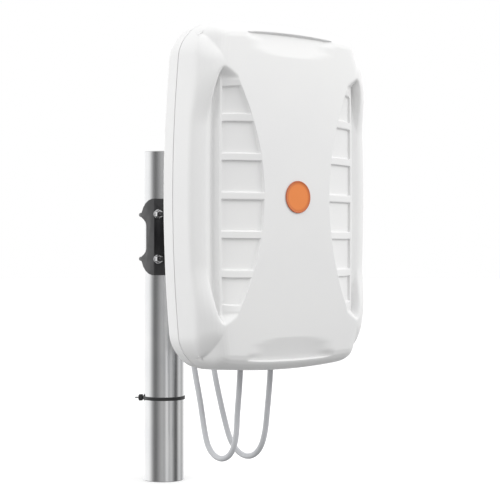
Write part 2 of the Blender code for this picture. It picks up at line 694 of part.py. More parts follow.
def build_leads():
    for name, drop in (("left", 1), ("right", -1)):
        route = relaxed(smooth_path(lead_knots(name), 4.0), 10)
        wire(f"lead_{name}", route[:-2:3] + [route[-1]], LEAD_RADIUS, LEAD_GREY)
        middle = on_mast(drop * 10.6, 40.0, 0)

        def turned(label, low, high, radius, sides, material):
            start = middle + Vector((0, 0, low))
            end = middle + Vector((0, 0, high))
            return rod(label, start, end, radius, sides, material)

        def bore(low, high, radius):
            return hole(middle + Vector((0, 0, low)), middle + Vector((0, 0, high)), radius, 24)

        body = turned(f"connector_body_{name}", 50, 69.4, 6.0, 24, NICKEL)
        join(body, turned("step", 44, 52, 8.2, 6, NICKEL), turned("barrel", 26, 45, 6.0, 24, NICKEL))
        cut(body, bore(20, 34, 4.4))
        join(body, turned("contact", 27, 35, 1.2, 12, NICKEL))
        nut = turned(f"coupling_nut_{name}", 22, 41.5, 10.0, 24, NICKEL)
        cut(nut, bore(10, 60, 6.35), bore(10, 36, 8.0))


def strap_outline(offset):
    """The strap's path: round the mast, and round the two leads beside it."""
    rounds = [(Vector((0, 0, 0)), MAST_RADIUS + offset)]
    rounds += [(on_mast(side * 4.3, 32.8, 0), LEAD_RADIUS + offset) for side in (-1, 1)]
    points = []
    for k in range(40):
        angle = math.tau * (k + 0.5) / 40
        way = Vector((math.cos(angle), math.sin(angle), 0))
        middle, radius = max(rounds, key=lambda item: item[0].dot(way) + item[1])
        points.append(tuple((middle + way * radius)[:2]))
    return points


def build_tie():
    tie = loop_strip("cable_tie", strap_outline(0.4), TIE_Z - 2.4, TIE_Z + 2.4, 1.3, True, NYLON_BLACK, "Z")
    out = Vector((-0.778, 0.628, 0.0)).normalized()
    along = Vector((0.628, 0.778, 0.0)).normalized()

    def block(label, near, far, width, low, high):
        corners = []
        for reach, side in ((near, -width), (far, -width), (far, width), (near, width)):
            corners.append(tuple((out * reach - along * side)[:2]))
        return prism(label, corners, "Z", TIE_Z + low, TIE_Z + high)

    return join(tie, block("head", 29.2, 35.6, 4.6, -4.6, 4.6), block("tail", 34.6, 41.0, 2.4, -0.7, 0.7))


def build_lead_clip():
    """A clip that holds both leads, one above the other, screwed to the right side of the saddle."""
    rounds = [(Vector((42.05, 277.6)), LEAD_RADIUS + 1.7), (Vector((45.85, 286.85)), LEAD_RADIUS + 1.7)]
    outline = []
    for k in range(32):
        angle = math.tau * (k + 0.5) / 32
        way = Vector((math.cos(angle), math.sin(angle)))
        middle, radius = max(rounds, key=lambda item: item[0].dot(way) + item[1])
        outline.append(tuple(middle + way * radius))
    clip = loop_strip("lead_clip", outline, CLIP_Y - 3.0, CLIP_Y + 3.0, 1.6, True, NYLON_BLACK, "Y")
    ear = [(38.8, 284.6), (40.4, 287.6), (41.2, 290.4), (41.2, 306.0), (38.8, 306.0)]
    join(clip, prism("ear", [(z, x) for x, z in ear[::-1]], "Y", CLIP_Y - 5.0, CLIP_Y + 5.0))
    cut(clip, hole((30, CLIP_Y, CLIP_SCREW_Z), (50, CLIP_Y, CLIP_SCREW_Z), 2.5, 16))
    head_ends = ((41.5, CLIP_Y, CLIP_SCREW_Z), (44.4, CLIP_Y, CLIP_SCREW_Z))
    screw = rod("lead_clip_screw", *head_ends, 4.4, 20, STAINLESS)
    join(screw, rod("shank", (31, CLIP_Y, CLIP_SCREW_Z), (41.9, CLIP_Y, CLIP_SCREW_Z), 2.2, 16))
    cut(screw, hole((42.8, CLIP_Y, CLIP_SCREW_Z), (46, CLIP_Y, CLIP_SCREW_Z), 1.6, 6))


# Which pieces move together

def hang(names, pivot_name, pivot_at):
    """Gives the pieces a parent that stands on their joint's axis."""
    pivot = bpy.data.objects.new(pivot_name, None)
    pivot.empty_display_size = 0.05
    pivot.location = Vector(pivot_at) * MM
    PARTS.objects.link(pivot)
    bpy.context.view_layer.update()
    for obj in list(PARTS.objects):
        if obj.type != "EMPTY" and obj.name.startswith(names):
            obj.parent = pivot
            obj.matrix_parent_inverse = pivot.matrix_world.inverted()
    return pivot


build_mast()
build_saddle()
build_u_bolts()
build_tilt_bolt()
build_yoke()
build_rear_cover()
build_front_cover()
build_gasket()
build_badge()
build_cover_screws()
build_tray()
build_radiators()
build_feed()
build_glands()
build_vent()
build_leads()
build_tie()
build_lead_clip()

CLAMP_PIECES = (
    "mast_saddle", "u_bolt", "tilt_bolt", "tilt_nut", "friction", "lead_", "connector", "coupling", "cable_tie",
)
PANEL_PIECES = (
    "front_", "rear_", "cover_", "badge", "reflector", "radiator", "director", "standoff", "feed", "gland",
    "vent", "tilt_yoke", "yoke_screw", "backing",
)
turntable = hang(CLAMP_PIECES, "mast_axis", (0, 0, CLAMP_Z))
tilt = hang(PANEL_PIECES, "tilt_axis", (0, TILT_Y, CLAMP_Z))
tilt.parent = turntable
tilt.matrix_parent_inverse = turntable.matrix_world.inverted()
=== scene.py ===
"""The looks of a flat-panel antenna on a mast section.

Shapes are worked out in millimetres and become metres when they are made. X is to the right, Y points away
from the antenna's face and Z is up. The origin is the middle of the mast's foot.
"""

import json
import math

import bmesh
import bpy
from mathutils import Matrix, Vector

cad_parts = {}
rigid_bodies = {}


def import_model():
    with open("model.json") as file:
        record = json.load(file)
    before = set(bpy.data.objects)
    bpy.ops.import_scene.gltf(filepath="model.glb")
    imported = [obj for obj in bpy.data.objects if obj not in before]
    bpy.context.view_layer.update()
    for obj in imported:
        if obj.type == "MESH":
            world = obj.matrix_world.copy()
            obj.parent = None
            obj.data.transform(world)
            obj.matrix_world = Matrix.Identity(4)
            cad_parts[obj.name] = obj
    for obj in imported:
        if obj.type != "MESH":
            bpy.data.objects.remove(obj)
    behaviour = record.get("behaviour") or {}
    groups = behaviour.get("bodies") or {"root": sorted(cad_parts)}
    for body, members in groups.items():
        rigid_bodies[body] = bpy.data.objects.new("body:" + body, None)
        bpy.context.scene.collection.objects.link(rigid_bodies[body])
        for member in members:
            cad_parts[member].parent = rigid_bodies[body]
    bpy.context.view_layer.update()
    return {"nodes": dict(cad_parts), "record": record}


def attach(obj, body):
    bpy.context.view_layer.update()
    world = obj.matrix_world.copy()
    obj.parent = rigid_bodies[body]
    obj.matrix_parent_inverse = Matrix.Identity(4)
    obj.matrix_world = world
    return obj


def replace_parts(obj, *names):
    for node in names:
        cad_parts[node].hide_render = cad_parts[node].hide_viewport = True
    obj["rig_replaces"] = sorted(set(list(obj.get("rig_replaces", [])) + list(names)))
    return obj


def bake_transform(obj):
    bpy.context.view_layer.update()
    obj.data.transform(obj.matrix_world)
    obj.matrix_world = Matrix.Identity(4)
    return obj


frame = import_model()

MM = 0.001
MAST_RADIUS = 28.5
MAST_WALL = 3.0
MAST_HEIGHT = 463.0
CLAMP_Z = 342.5
U_BOLT_HEIGHTS = (374.0, 312.0)
U_BOLT_X = 33.0
U_BOLT_END_Y = -43.0
ROD_RADIUS = 3.0

# The case. Depth is measured back from its foremost point, and the other numbers from its middle.
PANEL_Z = 391.0
FACE_Y = -290.0
EDGE_DEPTH = 24.0
SEAM_DEPTH = 67.5
BACK_DEPTH = 98.0
FACE_HALF_WIDTH = 145.0
FACE_HALF_HEIGHT = 218.5
SEAM_HALF_WIDTH = 145.2
SEAM_HALF_HEIGHT = 221.0
BACK_HALF_WIDTH = 142.5
BACK_HALF_HEIGHT = 220.0
CORNER_RADIUS = 39.0
BACK_ROUNDING = 11.0
SIDE_BOW = 13.0
END_BOW = 11.0
WALL = 3.0
RECESS_FOOT = 147.0
RECESS_END = 161.0
LADDER_X = 107.2
LADDER_DEPTH = 18.4
CELL_DEPTH = 3.4
CELLS = ((4.0, 44.0), (52.0, 92.0), (100.3, 134.8))
SCOOP_FOOT = 176.6
SCOOP_LIP = 205.5
SCOOP_DEPTH = 19.0
BADGE_RADIUS = 20.3

# Places on the case's back, (X, Z) from the mast's foot.
COVER_SCREWS = [(x, PANEL_Z + z) for x in (-117.0, 117.0) for z in (-148.0, 0.0, 148.0)]
YOKE_SCREWS = [(x, CLAMP_Z + z) for x in (-36.0, 36.0) for z in (-40.0, 40.0)]
VENT_AT = (80.0, PANEL_Z - 150.0)

# (distance from the middle, depth) across the groove beside each ladder, and the shoulder past its ends.
GROOVE = (
    (107.2, 18.4), (109.4, 18.7), (110.9, 19.6), (112.0, 22.6), (113.4, 25.6), (115.0, 27.2), (117.5, 27.2),
    (120.0, 26.4), (123.0, 25.2), (126.0, 24.4), (129.0, 24.2), (132.5, 24.8), (136.5, 26.6), (140.0, 28.8),
    (142.5, 31.0), (144.2, 33.6), (145.0, 37.0),
)
SHOULDER = (
    (100.0, 0.0), (107.2, 0.3), (111.5, 0.8), (117.5, 2.0), (123.0, 3.8), (129.0, 6.8), (136.5, 12.2),
    (140.0, 15.4), (142.5, 18.3), (144.2, 21.4), (145.0, 25.0),
)
# (height from the middle, further depth) over the rounding at the top and the bottom.
TOP_EDGE = ((200.0, 0.0), (206.0, 1.6), (211.0, 4.8), (214.5, 9.0), (217.0, 14.5), (218.5, 22.0))

# The leads hang behind the mast side by side. Across and out are measured there, at the tie and at the plugs.
LEAD_RADIUS = 3.8
LEAD_X = 25.4
GLAND_Y = -206.0
CABLE_BAY_ROOF_Z = 204.0
LEAD_TOP_Z = 210.0
TIE_Z = 116.0
TIED_ACROSS = 4.3
TIED_OUT = 32.8
PLUG_ACROSS = 10.6
PLUG_OUT = 40.0
PLUG_TOP_Z = 69.4
BACK_WAY = Vector((0.58, 0.814, 0.0)).normalized()
SIDE_WAY = Vector((0.814, -0.58, 0.0)).normalized()
TIE_HEAD_WAY = Vector((-0.778, 0.628, 0.0)).normalized()
TIE_HEAD_SIDE = Vector((0.628, 0.778, 0.0)).normalized()


# Camera: level, in front of the antenna and to its left, so that it sees the case's face and its left side.

CAMERA_AT = Vector((-1.1908, -1.6711, 0.3244))
CAMERA_HEADING = math.radians(38.88)

lens = bpy.data.cameras.new("camera")
lens.sensor_width = 36.0
lens.lens = 104.2
camera = bpy.data.objects.new("camera", lens)
camera.location = CAMERA_AT
camera.rotation_euler = (math.pi / 2, 0, -CAMERA_HEADING)
bpy.context.scene.collection.objects.link(camera)
bpy.context.scene.camera = camera


# Mesh helpers

def new_object(name, mesh):
    obj = bpy.data.objects.new(name, mesh)
    bpy.context.scene.collection.objects.link(obj)
    return obj


def from_bmesh(name, bm):
    mesh = bpy.data.meshes.new(name)
    bm.to_mesh(mesh)
    bm.free()
    return new_object(name, mesh)


def smooth(obj, angle=35.0):
    """Smooth shading, with an edge kept where two faces meet at more than the angle."""
    obj.data.shade_smooth()
    if angle:
        obj.data.set_sharp_from_angle(angle=math.radians(angle))
    return obj


def bake(obj):
    """Replaces the object's mesh with what its modifiers make of it."""
    graph = bpy.context.evaluated_depsgraph_get()
    mesh = bpy.data.meshes.new_from_object(obj.evaluated_get(graph))
    obj.modifiers.clear()
    obj.data = mesh
    return obj


def combine(obj, others, operation):
    for other in others:
        modifier = obj.modifiers.new(operation.lower(), "BOOLEAN")
        modifier.operation = operation
        modifier.solver = "EXACT"
        modifier.object = other
    bake(obj)
    for other in others:
        bpy.data.objects.remove(other, do_unlink=True)
    return obj


def rounded_edges(obj, width, segments=2, angle=30.0):
    modifier = obj.modifiers.new("rounding", "BEVEL")
    modifier.width = width * MM
    modifier.segments = segments
    modifier.limit_method = "ANGLE"
    modifier.angle_limit = math.radians(angle)
    return obj


def box(name, low, high):
    bm = bmesh.new()
    bmesh.ops.create_cube(bm, size=1.0)
    middle = (Vector(low) + Vector(high)) / 2
    size = Vector(high) - Vector(low)
    for vertex in bm.verts:
        vertex.co = (middle + Vector(a * b for a, b in zip(vertex.co, size))) * MM
    return from_bmesh(name, bm)


def along(start, end):
    """A matrix that takes the Z axis from the origin to the line from start to end, in metres."""
    way = Vector(end) - Vector(start)
    return Matrix.Translation(Vector(start) * MM) @ way.to_track_quat("Z", "Y").to_matrix().to_4x4()


def turned(name, profile, start, end, sides=64):
    """A round piece. profile lists (radius, distance from start) in millimetres, along the line to end."""
    bm = bmesh.new()
    rings = []
    for radius, height in profile:
        if radius < 1e-6:
            rings.append([bm.verts.new((0, 0, height * MM))])
            continue
        ring = []
        for k in range(sides):
            angle = math.tau * k / sides
            across = radius * MM
            ring.append(bm.verts.new((across * math.cos(angle), across * math.sin(angle), height * MM)))
        rings.append(ring)
    for low, high in zip(rings, rings[1:]):
        for k in range(sides):
            j = (k + 1) % sides
            if len(low) == 1:
                bm.faces.new((low[0], high[j], high[k]))
            elif len(high) == 1:
                bm.faces.new((low[k], low[j], high[0]))
            else:
                bm.faces.new((low[k], low[j], high[j], high[k]))
    bmesh.ops.recalc_face_normals(bm, faces=bm.faces)
    bm.transform(along(start, end))
    return from_bmesh(name, bm)


def rod(name, start, end, radius, sides=48, chamfer=0.0):
    length = (Vector(end) - Vector(start)).length
    profile = [(0.0, 0.0), (radius - chamfer, 0.0), (radius, chamfer), (radius, length - chamfer)]
    profile += [(radius - chamfer, length), (0.0, length)]
    if not chamfer:
        profile = [(0.0, 0.0), (radius, 0.0), (radius, length), (0.0, length)]
    return turned(name, profile, start, end, sides)


def smooth_path(knots, step):
    """Points about one step apart on a smooth curve that passes through the knots."""
    ends = [2 * Vector(knots[0]) - Vector(knots[1]), 2 * Vector(knots[-1]) - Vector(knots[-2])]
    knots = [ends[0], *(Vector(knot) for knot in knots), ends[1]]
    points = []
    for a, b, c, d in zip(knots, knots[1:], knots[2:], knots[3:]):
        count = max(1, round((c - b).length / step))
        for k in range(count):
            t = k / count
            square = 2 * a - 5 * b + 4 * c - d
            cube = 3 * b - a - 3 * c + d
            points.append(0.5 * (2 * b + (c - a) * t + square * t**2 + cube * t**3))
    return points + [knots[-2]]


def tube(name, points, radius, sides=24, swell=None):
    """A round bar through the points, in millimetres. swell() may change the radius along it."""
    bm = bmesh.new()
    rings = []
    side = None
    travelled = 0.0
    for k, point in enumerate(points):
        before = points[max(k - 1, 0)]
        after = points[min(k + 1, len(points) - 1)]
        travelled += (point - before).length
        way = (after - before).normalized()
        if side is None:
            side = way.orthogonal().normalized()
        side = (side - way * side.dot(way)).normalized()
        other = way.cross(side)
        size = radius * (swell(travelled) if swell else 1.0)
        ring = []
        for j in range(sides):
            angle = math.tau * j / sides
            out = side * math.cos(angle) + other * math.sin(angle)
            ring.append(bm.verts.new((point + out * size) * MM))
        rings.append(ring)
    for low, high in zip(rings, rings[1:]):
        for j in range(sides):
            i = (j + 1) % sides
            bm.faces.new((low[j], low[i], high[i], high[j]))
    bm.faces.new(rings[0][::-1])
    bm.faces.new(rings[-1])
    bmesh.ops.recalc_face_normals(bm, faces=bm.faces)
    return from_bmesh(name, bm)


def between(value, low, high):
    """0 up to low, 1 from high on, and a smooth step from one to the other."""
    t = min(max((value - low) / (high - low), 0.0), 1.0)
    return t * t * (3 - 2 * t)


def line_value(points, x):
    """The height at x of a line through the points."""
    if x <= points[0][0]:
        return points[0][1]
    for (x0, y0), (x1, y1) in zip(points, points[1:]):
        if x <= x1:
            return y0 + (y1 - y0) * (x - x0) / (x1 - x0)
    return points[-1][1]


# The front cover's face

def hourglass_edge(z):
    return 53.5 + 0.00179 * min(abs(z), 142.0) ** 2


def dome(z):
    return 0.00028 * z * z


def cell_depth(x, z):
    """How far the surface drops into a ladder's cell, with a small radius at the cell's rim."""
    edge = hourglass_edge(z)
    across = between(x, edge + 0.1, edge + 1.6) * (1 - between(x, LADDER_X - 1.4, LADDER_X))
    along_z = max(between(z, low, low + 1.3) * (1 - between(z, high - 1.3, high)) for low, high in CELLS)
    return CELL_DEPTH * across * along_z


def ladder_depth(x, z):
    """Depth of the sloping recess beside the hourglass, of the groove outside it and of the shoulder."""
    edge = hourglass_edge(z)
    if x <= edge:
        return dome(z)
    if x <= LADDER_X:
        slope = (LADDER_DEPTH - dome(z)) / (LADDER_X - edge)
        return dome(z) + slope * (x - edge) + cell_depth(x, z)
    return line_value(GROOVE, x)


def scoop_depth(x, z):
    """Depth of the scoop at the face's end, which slopes in from its curved foot to its lip."""
    slope = (SCOOP_DEPTH - dome(SCOOP_FOOT)) / (SCOOP_LIP - SCOOP_FOOT)
    half_width = 50.0 + 21.0 * (z - SCOOP_FOOT) / (SCOOP_LIP - SCOOP_FOOT)
    foot = SCOOP_FOOT + 5.0 * (1 - math.cos(min(x / half_width, 1.0) * math.pi / 2)) ** 2
    ramp = min(dome(SCOOP_FOOT) + slope * max(z - foot, 0.0), SCOOP_DEPTH)
    ramp -= 4.0 * between(z, SCOOP_LIP, SCOOP_LIP + 1.5)
    return max(ramp - dome(z), 0.0) * (1 - between(x, half_width - 5, half_width + 1))


def face_depth(x, z):
    """Depth of the front cover at a distance x from the middle line and a height z from the middle."""
    x, z = abs(x), abs(z)
    body = dome(z) + math.hypot(line_value(TOP_EDGE, z), line_value(SHOULDER, x))
    if z > SCOOP_FOOT:
        body = max(body, dome(z) + scoop_depth(x, z))
    # The recess fades out past the ladder's end, sooner on its inner side and over the groove.
    inward = min(max(110.0 - x, 0.0), 21.0)
    fade_start = RECESS_FOOT - 0.2 * inward - 60.0 * between(x, 112.0, 127.0)
    share = 1 - between(z, fade_start, RECESS_END - 0.7 * inward)
    return body + max(ladder_depth(x, z) - body, 0.0) * share


def rounded(x, z, half_width, half_height):
    """Moves a point of the plain rectangle that the face's numbers give onto the rounded, bowed case."""
    u, v = abs(x) / FACE_HALF_WIDTH, abs(z) / FACE_HALF_HEIGHT
    ring = max(u, v)
    radius = CORNER_RADIUS * between(ring, 0.72, 1.0)
    width, height = FACE_HALF_WIDTH * ring, FACE_HALF_HEIGHT * ring
    ax, az = abs(x), abs(z)
    if radius > 0 and ax > width - radius and az > height - radius:
        a = (ax - width + radius) / radius
        b = (az - height + radius) / radius
        angle = math.pi / 4 * b if a >= b else math.pi / 2 - math.pi / 4 * a
        ax = width - radius + radius * math.cos(angle)
        az = height - radius + radius * math.sin(angle)
    pull = between(ring, 0.6, 1.0)
    ax -= SIDE_BOW * (az / FACE_HALF_HEIGHT) ** 2 * pull * u
    az -= END_BOW * (ax / FACE_HALF_WIDTH) ** 2 * pull * v
    ax *= 1 + (half_width / FACE_HALF_WIDTH - 1) * pull
    az *= 1 + (half_height / FACE_HALF_HEIGHT - 1) * pull
    return math.copysign(ax, x), math.copysign(az, z)


def stations(stops):
    """Distances from the middle: stops is a list of (limit, step), from the middle outwards."""
    found = [0.0]
    for limit, step in stops:
        start = found[-1]
        count = max(1, round((limit - start) / step))
        found += [start + (limit - start) * k / count for k in range(1, count + 1)]
    return found


def mirrored(side):
    """The distances on both sides of the middle."""
    return [-station for station in reversed(side) if station] + list(side)


def cover(name, columns, rows, walls, place):
    """A cover's outer skin: a grid of columns by rows, with rings of points round it for the side wall."""
    extra = len(walls)
    across = len(columns) + 2 * extra
    up = len(rows) + 2 * extra
    bm = bmesh.new()
    grid = []
    for j in range(up):
        line = []
        for i in range(across):
            ring = min(i, j, across - 1 - i, up - 1 - j)
            column = columns[min(max(i - extra, 0), len(columns) - 1)]
            row = rows[min(max(j - extra, 0), len(rows) - 1)]
            x, depth, z = place(column, row, walls[ring] if ring < extra else None)
            line.append(bm.verts.new((x * MM, (FACE_Y + depth) * MM, (PANEL_Z + z) * MM)))
        grid.append(line)
    for low, high in zip(grid, grid[1:]):
        for i in range(across - 1):
            bm.faces.new((low[i], low[i + 1], high[i + 1], high[i]))
    # At each corner the wall's rings have points to spare, all in one place.
    bmesh.ops.remove_doubles(bm, verts=bm.verts, dist=0.01 * MM)
    return from_bmesh(name, bm)


def front_point(column, row, wall):
    """A point of the front cover. Columns 0 to 1 span the hourglass, 1 to 2 the ladder. Past 2 they are X."""
    size = abs(column)
    if size <= 1:
        x = hourglass_edge(row) * size
    elif size <= 2:
        x = hourglass_edge(row) + (LADDER_X - hourglass_edge(row)) * (size - 1)
    else:
        x = size
    x = math.copysign(x, column)
    depth = face_depth(x, row) if wall is None else wall
    grow = min(max((depth - EDGE_DEPTH) / (SEAM_DEPTH - EDGE_DEPTH), -0.3), 1.0)
    half_width = FACE_HALF_WIDTH + (SEAM_HALF_WIDTH - FACE_HALF_WIDTH) * grow
    half_height = FACE_HALF_HEIGHT + (SEAM_HALF_HEIGHT - FACE_HALF_HEIGHT) * grow
    x, z = rounded(x, row, half_width, half_height)
    return x, depth, z


def thicken(obj, thickness):
    modifier = obj.modifiers.new("wall", "SOLIDIFY")
    modifier.thickness = thickness * MM
    modifier.offset = -1.0
    modifier.use_even_offset = False
    return bake(obj)


def make_front_cover():
    inner = [0.12 * k for k in range(8)] + [0.9, 0.94, 0.97, 0.985, 1.0]
    ladder = [1.008, 1.016, 1.026, 1.04, 1.08, 1.2, 1.35, 1.5, 1.65, 1.8, 1.92, 1.96, 1.975, 1.985, 2.0]
    edge = stations([(LADDER_X, LADDER_X), (FACE_HALF_WIDTH, 0.9)])[2:]
    columns = inner + ladder + edge
    rows = stations([(RECESS_FOOT, 0.85), (RECESS_END, 1.0), (SCOOP_FOOT - 2, 3.0), (FACE_HALF_HEIGHT, 1.0)])
    walls = [SEAM_DEPTH - back for back in (0.6, 1.2, 8.0, 18.0, 28.0)]
    skin = cover("front_shell", mirrored(columns), mirrored(rows), walls, front_point)
    thicken(skin, WALL)
    return smooth(skin, 50)


front_shell = make_front_cover()
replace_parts(front_shell, "front_radome")
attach(front_shell, "panel")


# The rear cover

def rear_point(column, row, wall):
    """A point of the rear cover: on its flat back, or on the wall at a (depth, inset)."""
    if wall is None:
        x, z = rounded(column, row, BACK_HALF_WIDTH - BACK_ROUNDING, BACK_HALF_HEIGHT - BACK_ROUNDING)
        return x, BACK_DEPTH, z
    depth, inset = wall
    share = between(depth, SEAM_DEPTH, BACK_DEPTH - BACK_ROUNDING)
    half_width = SEAM_HALF_WIDTH + (BACK_HALF_WIDTH - SEAM_HALF_WIDTH) * share - inset
    half_height = SEAM_HALF_HEIGHT + (BACK_HALF_HEIGHT - SEAM_HALF_HEIGHT) * share - inset
    x, z = rounded(column, row, half_width, half_height)
    return x, depth, z


def back_hole(x, z, from_depth, radius, sides=48):
    """A cutter through the back, from a depth inside the case."""
    return rod("hole", (x, FACE_Y + from_depth, z), (x, FACE_Y + 110, z), radius, sides)


def make_rear_cover():
    columns = mirrored(stations([(90.0, 15.0), (FACE_HALF_WIDTH, 2.6)]))
    rows = mirrored(stations([(165.0, 16.5), (FACE_HALF_HEIGHT, 2.6)]))
    walls = [(SEAM_DEPTH + 0.6, 0.0), (SEAM_DEPTH + 1.2, 0.0), (SEAM_DEPTH + 8.0, 0.0)]
    for k in range(7):
        angle = math.pi / 2 * k / 7
        depth = BACK_DEPTH - BACK_ROUNDING + BACK_ROUNDING * math.sin(angle)
        walls.append((depth, BACK_ROUNDING * (1 - math.cos(angle))))
    skin = cover("rear_shell", columns, rows, walls, rear_point)
    skin.data.flip_normals()
    thicken(skin, WALL)
    bay_front = FACE_Y + 70.5
    additions = [box("bay", (-51, bay_front, 175.5), (51, FACE_Y + 95, CABLE_BAY_ROOF_Z))]
    for x, z in YOKE_SCREWS:
        additions.append(rod("pad", (x, FACE_Y + 87.4, z), (x, FACE_Y + 96, z), 7.0, 32))
    combine(skin, additions, "UNION")
    cutters = [box("bay", (-48, bay_front + 2.6, 150), (48, FACE_Y + 110, CABLE_BAY_ROOF_Z - 3))]
    for x, z in COVER_SCREWS:
        cutters.append(back_hole(x, z, 90, 2.2, 32))
    for x, z in YOKE_SCREWS:
        cutters.append(back_hole(x, z, 80, 3.4, 32))
    for x in (-LEAD_X, LEAD_X):
        cutters.append(rod("hole", (x, GLAND_Y, 190), (x, GLAND_Y, 215), 7.5))
    cutters.append(back_hole(*VENT_AT, 90, 4.0))
    combine(skin, cutters, "DIFFERENCE")
    return smooth(skin, 35)


rear_shell = make_rear_cover()
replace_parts(rear_shell, "rear_cover")
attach(rear_shell, "panel")


# Badge: a plain disc with a raised rim.

def make_badge():
    radius = BADGE_RADIUS
    profile = [(0.0, 0.3), (radius - 0.4, 0.3), (radius, 0.6), (radius, 1.15), (radius - 0.3, 1.45)]
    profile += [(radius - 1.3, 1.5), (radius - 1.8, 1.2), (radius - 2.4, 1.12)]
    profile += [(radius * 0.5, 1.34), (0.0, 1.4)]
    return smooth(turned("badge", profile, (0, FACE_Y, PANEL_Z), (0, FACE_Y - 1.0, PANEL_Z), 128), 40)


badge = make_badge()
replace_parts(badge, "badge_disc")
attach(badge, "panel")


# Mast

def make_mast():
    inner = MAST_RADIUS - MAST_WALL
    profile = [(inner, 1.0), (inner + 0.8, 0.0), (MAST_RADIUS - 0.8, 0.0), (MAST_RADIUS, 0.8)]
    profile += [(MAST_RADIUS, MAST_HEIGHT - 0.8), (MAST_RADIUS - 0.8, MAST_HEIGHT)]
    profile += [(inner + 0.8, MAST_HEIGHT), (inner, MAST_HEIGHT - 1.0), (inner, 1.0)]
    obj = turned("mast", profile, (0, 0, 0), (0, 0, 1), 160)
    # The profile ends where it starts, so its first and last rings become one.
    bm = bmesh.new()
    bm.from_mesh(obj.data)
    bmesh.ops.remove_doubles(bm, verts=bm.verts, dist=1e-7)
    bmesh.ops.recalc_face_normals(bm, faces=bm.faces)
    bm.to_mesh(obj.data)
    bm.free()
    return smooth(obj, 30)


mast = make_mast()
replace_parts(mast, "mast_tube")
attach(mast, "mast")


# Leads, with a connector at the end of each

def on_mast(tangent, radial, z):
    """A point behind the mast: across and out from its axis, in the direction that the leads hang."""
    return BACK_WAY * radial + SIDE_WAY * tangent + Vector((0, 0, z))


def lead_knots(name):
    """Where a lead goes: its loop under the case, up to the clip on the saddle, then down behind the mast."""
    if name == "left":
        rise = [(-203.2, 142.0), (-199.2, 110.0), (-197.2, 83.0), (-187.5, 59.0), (-163.5, 48.6)]
        rise += [(-139.5, 59.0), (-128.8, 84.0), (-119.5, 122.0), (-106.3, 165.3)]
        back = [(-22, -94, 209), (-8, -80, 244), (13, -61, 267), (32, -40, 277), (42.5, -21, 278.3)]
        back += [(46, 0, 272), (44, 16, 253), (38, 22.5, 224), (30.5, 24, 190), on_mast(4.4, 33.2, 158)]
        x, turn = -LEAD_X, 1
    else:
        rise = [(-203.0, 142.0), (-198.5, 110.0), (-195.0, 86.0), (-185.5, 62.0), (-166.0, 48.6)]
        rise += [(-143.0, 48.6), (-122.0, 63.0), (-110.5, 85.0), (-97.0, 119.0), (-83.5, 160.0)]
        back = [(26, -75, 201), (29.5, -69, 238), (36.5, -58.5, 268), (43, -39, 284.5), (46, -19, 287.3)]
        back += [(48.5, 2, 284), (48.5, 21, 267), (41.5, 32, 240), (29.5, 35, 211), on_mast(-4.8, 35.6, 182)]
        x, turn = LEAD_X, -1
    top = [(x, GLAND_Y, LEAD_TOP_Z), (x, GLAND_Y, 176.0)]
    foot = [on_mast(turn * TIED_ACROSS, TIED_OUT, z) for z in (130, 106)]
    foot.append(on_mast(turn * 7.4, 36.4, 92))
    foot += [on_mast(turn * PLUG_ACROSS, PLUG_OUT, z) for z in (78, PLUG_TOP_Z + 0.4)]
    return top + [(x, y, z) for y, z in rise] + back + foot


def relaxed(points, rounds):
    """Evens out a path's bends, by moving each point towards the middle of its neighbours."""
    for _ in range(rounds):
        inner = [(a + 2 * b + c) / 4 for a, b, c in zip(points, points[1:], points[2:])]
        points = [points[0], *inner, points[-1]]
    return points


def path_length(points):
    return sum((b - a).length for a, b in zip(points, points[1:]))


leads = {}
for side in ("left", "right"):
    points = relaxed(smooth_path(lead_knots(side), 4.0), 10)
    lead = smooth(tube(f"coax_{side}", points, LEAD_RADIUS), 60)
    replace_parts(lead, f"lead_{side}")
    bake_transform(lead)
    leads[side] = (lead, points)


# Cable tie

def strap_outline(offset, count):
    """The strap's path: round the mast, and round the two leads beside it."""
    rounds = [(Vector((0, 0, 0)), MAST_RADIUS + offset)]
    rounds += [(on_mast(side * TIED_ACROSS, TIED_OUT, 0), LEAD_RADIUS + offset) for side in (-1, 1)]
    points = []
    for k in range(count):
        angle = math.tau * (k + 0.5) / count
        way = Vector((math.cos(angle), math.sin(angle), 0))
        middle, radius = max(rounds, key=lambda item: item[0].dot(way) + item[1])
        points.append((middle + way * radius, way))
    return points


def make_strap():
    """A closed band whose section is a flat bar with soft corners."""
    half = 2.35
    section = [(0.0, -half), (0.0, half), (0.35, half), (0.95, half - 0.3), (1.2, half - 0.9), (1.0, 0.5)]
    section += [(1.0, -0.5), (1.2, -half + 0.9), (0.95, -half + 0.3), (0.35, -half)]
    bm = bmesh.new()
    rings = []
    for point, way in strap_outline(0.45, 180):
        places = [point + way * out + Vector((0, 0, TIE_Z + up)) for out, up in section]
        rings.append([bm.verts.new(place * MM) for place in places])
    for k, ring in enumerate(rings):
        following = rings[(k + 1) % len(rings)]
        for j in range(len(section)):
            i = (j + 1) % len(section)
            bm.faces.new((ring[j], following[j], following[i], ring[i]))
    bmesh.ops.recalc_face_normals(bm, faces=bm.faces)
    return smooth(from_bmesh("tie_strap", bm), 40)


def tie_block(name, near, far, width, low, high, rounding):
    """A block on the strap, on the side of the mast that faces left and back."""
    block = box(name, (near, -width, low), (far, width, high))
    turn = Matrix((TIE_HEAD_WAY, TIE_HEAD_SIDE, Vector((0, 0, 1)))).transposed().to_4x4()
    block.data.transform(Matrix.Translation((0, 0, TIE_Z * MM)) @ turn)
    rounded_edges(block, rounding, 3)
    return smooth(bake(block), 40)


